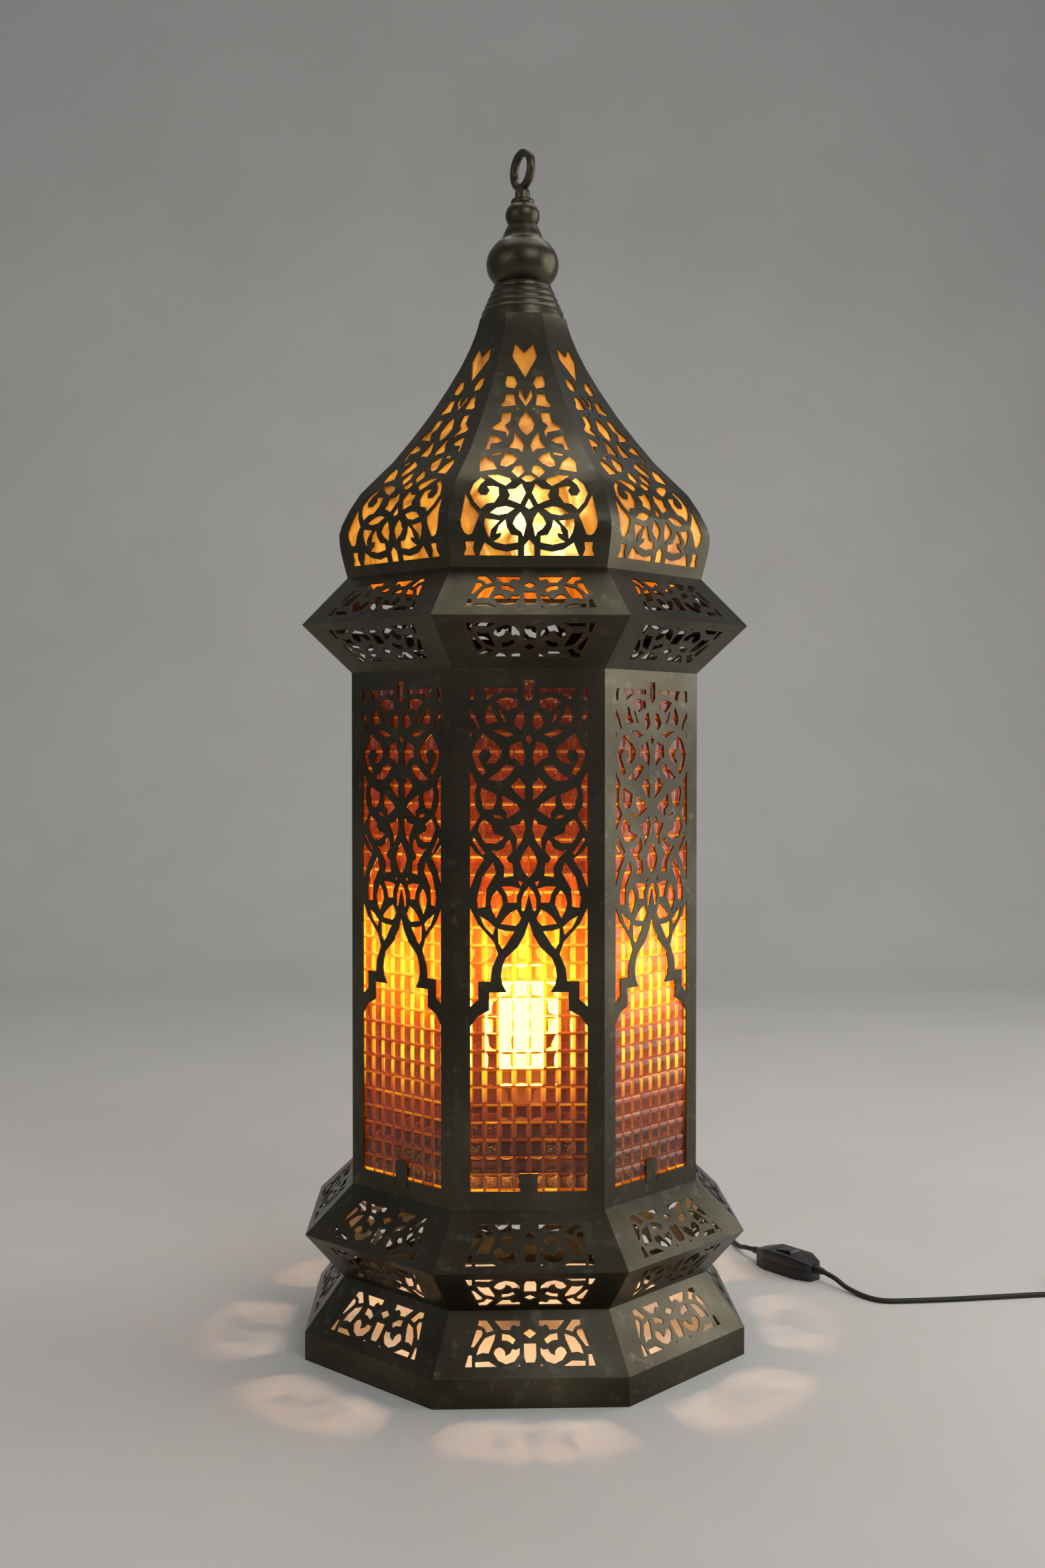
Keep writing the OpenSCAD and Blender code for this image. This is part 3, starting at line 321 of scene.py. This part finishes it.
def amber_liner():
    """Thin amber sheet with a painted glow from the bulb, dimmer higher up and varying with the folds, and
    painted bright patches low in the dome's front.
    """
    s = Shader("amber_liner")
    folds = s.noise(24, 4, 0.6, s.stretched((1, 1, 0.45)), 1.4)
    patches = s.noise(34, 3, 0.6, s.stretched((1, 0.4, 0.6)), 0.8)
    spot = s.axes()
    # Painted bright patches: emission strongest low, at the front and middle of the dome, in noise-shaped
    # patches.
    low = s.range(spot["Z"], 0.85, 0.75, 0, 1)
    front = s.range(spot["Y"], -0.10, -0.15, 0, 1)
    middle = s.range(s.math("ABSOLUTE", spot["X"], 0), 0.055, 0.03, 0, 1)
    painted_hot_patch = s.times(low, front, middle, s.range(patches, 0.42, 0.6, 0, 1))
    colour = s.ramp(folds, (0.3, (0.42, 0.11, 0.005)), (0.5, (0.70, 0.24, 0.012)), (0.7, (0.88, 0.38, 0.04)))
    s.link(colour, s.main.inputs["Base Color"])
    s.link(s.mix(painted_hot_patch, colour, (1.0, 0.66, 0.22)), s.main.inputs["Emission Color"])
    # Painted glow: emission standing in for the bulb's light on the liner, which is no lamp, dimmer higher
    # up.
    rise = s.range(spot["Z"], 0.72, 0.93, 0.80, 0.25)
    glow = s.times(rise, s.range(folds, 0.3, 0.7, 0.45, 1.25))
    s.link(s.math("ADD", glow, s.times(painted_hot_patch, 3.0)), s.main.inputs["Emission Strength"])
    s.set(Roughness=0.35)
    s.bump(folds, 0.5, 0.002)
    return s.material


NECK_TOP = (0.247, 0.262)


def bulb_glass():
    """Opaque white neck below, a glowing frosted globe above."""
    s = Shader("bulb_glass")
    frost = s.noise(200, 2)
    s.link(s.ramp(frost, (0.3, (0.88, 0.84, 0.76)), (0.7, (0.96, 0.93, 0.87))), s.main.inputs["Base Color"])
    s.set(Roughness=0.4, Emission_Color=(1.0, 0.88, 0.72, 1))
    s.link(s.range(s.axes()["Z"], *NECK_TOP, 0.3, 110), s.main.inputs["Emission Strength"])
    s.bump(frost, 0.1, 0.0003)
    return s.material


# ---- Smooth shading and small rounded edges on CAD nodes, as modifiers ----

SHARP = math.radians(30)
ROUNDED_FROM = math.radians(35)
WELD_WITHIN = 0.01 * MM


def smoothing_group():
    """Shades faces smooth and keeps the sharp edges."""
    group = bpy.data.node_groups.new("smooth_by_angle", "GeometryNodeTree")
    group.interface.new_socket("Geometry", in_out="INPUT", socket_type="NodeSocketGeometry")
    group.interface.new_socket("Geometry", in_out="OUTPUT", socket_type="NodeSocketGeometry")
    nodes = group.nodes
    start = nodes.new("NodeGroupInput")
    end = nodes.new("NodeGroupOutput")
    faces = nodes.new("GeometryNodeSetShadeSmooth")
    edges = nodes.new("GeometryNodeSetShadeSmooth")
    edges.domain = "EDGE"
    angle = nodes.new("GeometryNodeInputMeshEdgeAngle")
    limit = nodes.new("FunctionNodeCompare")
    limit.operation = "LESS_THAN"
    limit.inputs["B"].default_value = SHARP
    group.links.new(start.outputs[0], faces.inputs["Geometry"])
    group.links.new(faces.outputs[0], edges.inputs["Geometry"])
    group.links.new(angle.outputs["Unsigned Angle"], limit.inputs["A"])
    group.links.new(limit.outputs["Result"], edges.inputs["Shade Smooth"])
    group.links.new(edges.outputs[0], end.inputs[0])
    return group


def dress(node, material, group, rounding=0.0):
    """Gives a CAD node its material, joins its split vertices, and rounds its edges."""
    piece = frame["nodes"][node]
    piece.data.materials.clear()
    piece.data.materials.append(material)
    weld = piece.modifiers.new("weld", "WELD")
    weld.merge_threshold = WELD_WITHIN
    if rounding:
        bevel = piece.modifiers.new("rounding", "BEVEL")
        bevel.width = rounding
        bevel.segments = 2
        bevel.limit_method = "ANGLE"
        bevel.angle_limit = ROUNDED_FROM
        bevel.harden_normals = False
    piece.modifiers.new("smooth", "NODES").node_group = group


# ---- Tiled glass panes ----

TILE_W = 12.65 * MM
TILE_H = 15.05 * MM
RELIEF = 1.3 * MM
SHARES = (0, 0.06, 0.14, 0.27, 0.5, 0.73, 0.86, 0.94)


def stops(low, high, pitch, start):
    """Places from low to high, denser at the joints: (place, tile's number, share of the way across it)."""
    found = []
    for tile in range(math.floor((low - start) / pitch), math.ceil((high - start) / pitch) + 1):
        for share in SHARES:
            place = start + (tile + share) * pitch
            if low < place < high:
                found.append((place, tile, share))
    first, last = ((place, math.floor((place - start) / pitch), (place - start) / pitch % 1)
                   for place in (low, high))
    return [first] + found + [last]


def pillow(share):
    """Height of a tile across its width: a shallow dome with rounded shoulders down to the joints."""
    off = abs(2 * share - 1)
    return 1 - 0.6 * off ** 6 - 0.4 * off ** 2


def tile_pane(face, node, body, material):
    """Pane of pillow-shaped tiles on its outer side, flat behind, for one face of the lantern."""
    low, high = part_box("glass_front")
    bottom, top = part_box(node)
    columns = stops(low.x, high.x, TILE_W, 0)
    rows = stops(bottom.z, top.z, TILE_H, WINDOW_BOTTOM)
    turn = Matrix.Rotation(FACE_TURN * face, 4, "Z")
    chance = random.Random(face + 1)
    shade = {}
    mesh = bmesh.new()
    tone = mesh.faces.layers.float.new("tile")
    across = mesh.loops.layers.float.new("across")
    up = mesh.loops.layers.float.new("up")
    outer = [[mesh.verts.new(turn @ Vector((x, low.y + RELIEF * (1 - pillow(left) * pillow(foot)), z)))
              for x, _, left in columns] for z, _, foot in rows]
    back = [mesh.verts.new(turn @ Vector((x, high.y, z)))
            for x, z in ((low.x, bottom.z), (high.x, bottom.z), (high.x, top.z), (low.x, top.z))]
    left_side = [line[0] for line in outer]
    right_side = [line[-1] for line in outer]
    for verts in (back, back[:2] + outer[0][::-1], back[2:] + outer[-1], [back[3], back[0]] + left_side,
                  back[1:3] + right_side[::-1]):
        for loop in mesh.faces.new(verts).loops:
            loop[across] = loop[up] = 0.5
    for j, (_, row, foot) in enumerate(rows[:-1]):
        head = rows[j + 1][2] or 1
        for i, (_, column, left) in enumerate(columns[:-1]):
            right = columns[i + 1][2] or 1
            made = mesh.faces.new((outer[j][i], outer[j][i + 1], outer[j + 1][i + 1], outer[j + 1][i]))
            made.smooth = True
            made[tone] = shade.setdefault((row, column), chance.random())
            for loop, share in zip(made.loops, ((left, foot), (right, foot), (right, head), (left, head))):
                loop[across], loop[up] = share
    bmesh.ops.recalc_face_normals(mesh, faces=mesh.faces)
    piece = add_mesh("tiled_" + node, mesh, body, material)
    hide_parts(node)
    return piece


def add_mesh(name, mesh, body, material):
    """A piece from a bmesh, riding on a body."""
    data = bpy.data.meshes.new(name)
    mesh.to_mesh(data)
    mesh.free()
    data.materials.append(material)
    piece = bpy.data.objects.new(name, data)
    bpy.context.scene.collection.objects.link(piece)
    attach(piece, body)
    return piece


# ---- Cord ----
# The route's points are those of the CAD cord. Millimetres until smooth() is done.

CORD_D = 5
SWITCH_AT = Vector((285, 150))
SWITCH_TURN = math.radians(-53)
SWITCH_HALF = 48
SWITCH_Z = 12
COIL_AT = Vector((590, 97))
COIL_OUTER = 33
PLUG_AT = (21, 6.85)
COIL_END = 5 * 360 + 90
COIL_STEP = 10
MOVE_OVER = 60
INWARDS_AT = (300, 660)
UP_AT = 960
OUTWARDS_AT = (1260, 1620)
EXIT = (0, 199.5, 12)
LAMP_ROUTE = [EXIT, (0, 212, 12), (0, 226, 12), (2, 245, 10.3), (10, 268, 4.5), (26, 292, 2.5),
              (52, 314, 2.5), (84, 330, 2.5), (120, 341, 2.5), (156, 340, 2.5), (190, 328, 2.5),
              (216, 306, 2.5), (234, 280, 2.5), (243, 250, 2.8), (246, 224, 5), (249, 205, 9.5)]
PLUG_ROUTE = [(323, 97.5, 9.5), (331, 84.6, 5), (339.5, 71.3, 2.9), (346.7, 60.2, 2.5), (354, 52.6, 2.5),
              (362.8, 48.6, 2.5), (374, 47.6, 2.5), (400, 48.8, 2.5), (430, 51, 2.5), (460, 54.4, 2.5),
              (490, 58, 2.5), (520, 61.4, 2.5), (548, 63.6, 2.5), (572, 64, 2.5)]


def smooth(points, pieces):
    """Catmull-Rom curve through points."""
    found = []
    for i in range(len(points) - 1):
        a, b = points[max(i - 1, 0)], points[i]
        c, d = points[i + 1], points[min(i + 2, len(points) - 1)]
        for k in range(pieces):
            t = k / pieces
            found.append((2 * b + (c - a) * t + (2 * a - 5 * b + 4 * c - d) * t * t
                          + (3 * b - a - 3 * c + d) * t ** 3) / 2)
    return found + [points[-1]]


def moved_over(angle, start):
    """Share of one diameter that the cord has moved over, eased, once past the angle where it starts."""
    t = min(max((angle - start) / MOVE_OVER, 0), 1)
    return t * t * (3 - 2 * t)


def coil_points():
    """Two layers of three turns: inwards below, up at the innermost turn, and outwards above."""
    found = []
    for angle in range(0, COIL_END + 1, COIL_STEP):
        inwards = sum(moved_over(angle, start) for start in INWARDS_AT)
        outwards = sum(moved_over(angle, start) for start in OUTWARDS_AT)
        r = COIL_OUTER - CORD_D * (inwards - outwards)
        z = CORD_D / 2 + CORD_D * moved_over(angle, UP_AT)
        way = math.radians(angle - 90)
        found.append(Vector((COIL_AT.x + r * math.cos(way), COIL_AT.y + r * math.sin(way), z)))
    return found


def cord_points():
    """The whole centreline from the rim to the plug, in metres."""
    along = Vector((math.cos(SWITCH_TURN), math.sin(SWITCH_TURN)))
    enter = (SWITCH_AT - along * SWITCH_HALF).to_3d() + Vector((0, 0, SWITCH_Z))
    leave = (SWITCH_AT + along * SWITCH_HALF).to_3d() + Vector((0, 0, SWITCH_Z))
    into_plug = Vector((COIL_AT.x + COIL_OUTER, COIL_AT.y + PLUG_AT[0], PLUG_AT[1]))
    route = smooth([Vector(p) for p in LAMP_ROUTE] + [enter], 4)
    route += smooth([leave] + [Vector(p) for p in PLUG_ROUTE], 4)
    route += coil_points() + [into_plug]
    return [p * MM for p in route]


def make_cord(material):
    points = cord_points()
    curve = bpy.data.curves.new("mains_cord", "CURVE")
    curve.dimensions = "3D"
    curve.bevel_depth = CORD_D / 2 * MM
    curve.bevel_resolution = 5
    curve.use_fill_caps = True
    spline = curve.splines.new("POLY")
    spline.points.add(len(points) - 1)
    for target, point in zip(spline.points, points):
        target.co = (*point, 1)
    curve.materials.append(material)
    cord = bpy.data.objects.new("mains_cord", curve)
    bpy.context.scene.collection.objects.link(cord)
    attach(cord, BODY)
    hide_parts("cord_lamp_side", "cord_plug_side", "cord_coil")


# ---- Studio ----

def make_floor():
    """Pale floor that curves up into a pale wall far behind."""
    s = Shader("studio_floor")
    mottle = s.noise(3, 4)
    colour = s.ramp(mottle, (0.3, (0.60, 0.585, 0.56)), (0.7, (0.64, 0.625, 0.60)))
    s.link(colour, s.main.inputs["Base Color"])
    s.set(Roughness=0.75)
    near, depth, rise, radius, half, steps = -6.0, 3.2, 4.0, 1.0, 6.0, 12
    profile = [(near, 0), (depth - radius, 0)]
    for i in range(1, steps + 1):
        way = math.pi / 2 * i / steps
        profile.append((depth - radius + radius * math.sin(way), radius - radius * math.cos(way)))
    profile.append((depth, rise))
    mesh = bmesh.new()
    lines = [[mesh.verts.new((x, y, z)) for y, z in profile] for x in (-half, half)]
    for i in range(len(profile) - 1):
        mesh.faces.new((lines[0][i], lines[1][i], lines[1][i + 1], lines[0][i + 1])).smooth = True
    data = bpy.data.meshes.new("studio_floor")
    mesh.to_mesh(data)
    mesh.free()
    data.materials.append(s.material)
    floor = bpy.data.objects.new("studio_floor", data)
    bpy.context.scene.collection.objects.link(floor)


def add_light(name, kind, place, target, power, colour, size):
    """A light at a place, turned to a target, with its power in watts."""
    data = bpy.data.lights.new(name, kind)
    data.energy = power
    data.color = colour
    if kind == "AREA":
        data.size = size
    else:
        data.shadow_soft_size = size
    light = bpy.data.objects.new(name, data)
    light.location = place
    light.rotation_euler = (Vector(target) - Vector(place)).to_track_quat("-Z", "Y").to_euler()
    bpy.context.scene.collection.objects.link(light)


def make_lights():
    """Soft daylight from the right and above, a weak fill, and the warm lamp inside."""
    world = bpy.data.worlds.new("studio")
    world.use_nodes = True
    world.node_tree.nodes["Background"].inputs["Color"].default_value = (0.93, 0.95, 1.0, 1)
    world.node_tree.nodes["Background"].inputs["Strength"].default_value = 0.22
    bpy.context.scene.world = world
    bpy.context.scene.view_settings.view_transform = "Standard"
    middle = (0, 0, 0.55)
    add_light("key", "AREA", (2.3, 0.1, 1.0), middle, 32, (1.0, 0.98, 0.94), 2.2)
    add_light("front", "AREA", (1.2, -2.2, 2.2), middle, 22, (0.95, 0.98, 1.0), 1.5)
    add_light("fill", "AREA", (-2.2, -1.6, 1.4), middle, 9, (1.0, 0.95, 0.88), 2.0)
    add_light("top", "AREA", (0.2, 0.6, 2.8), middle, 22, (1.0, 0.98, 0.95), 2.0)
    add_light("lamp", "POINT", BULB_AT, middle, 48, (1.0, 0.46, 0.12), 0.031)


# ---- Build ----

make_camera()
cord_finish = black_cord()
make_cord(cord_finish)
metal = antique_metal()
brass = aged_brass()
plastic = black_plastic()
glass = amber_glass()
liner = amber_liner()
bulb = bulb_glass()
cap = bright_metal("bulb_cap", (0.45, 0.45, 0.46), (0.75, 0.75, 0.76))
pins = bright_metal("plug_pins", (0.5, 0.49, 0.46), (0.78, 0.77, 0.74))
finishes = {"antique_metal": metal, "aged_brass": brass, "black_plastic": plastic,
            "black_cord": cord_finish, "amber_glass": glass, "amber_liner": liner, "bulb_cap": cap,
            "bulb_glass": bulb, "plug_pins": pins}
rounded = {"switch_cover": 0.0008, "switch_base": 0.0006, "plug_body": 0.0012, "lamp_strap": 0.0004,
           "glass_clips": 0.0003, "door_glass_clips": 0.0003, "switch_rocker": 0.0004}
smoothing = smoothing_group()
for part in frame["record"]["subparts"]:
    dress(part["node"], finishes[part["material_slot"]], smoothing, rounded.get(part["node"], 0.0))
for face, side in enumerate(FACES):
    if face == DOOR_FACE:
        tile_pane(face, "door_glass", DOOR, glass)
    else:
        tile_pane(face, "glass_" + side, BODY, glass)
make_floor()
make_lights()
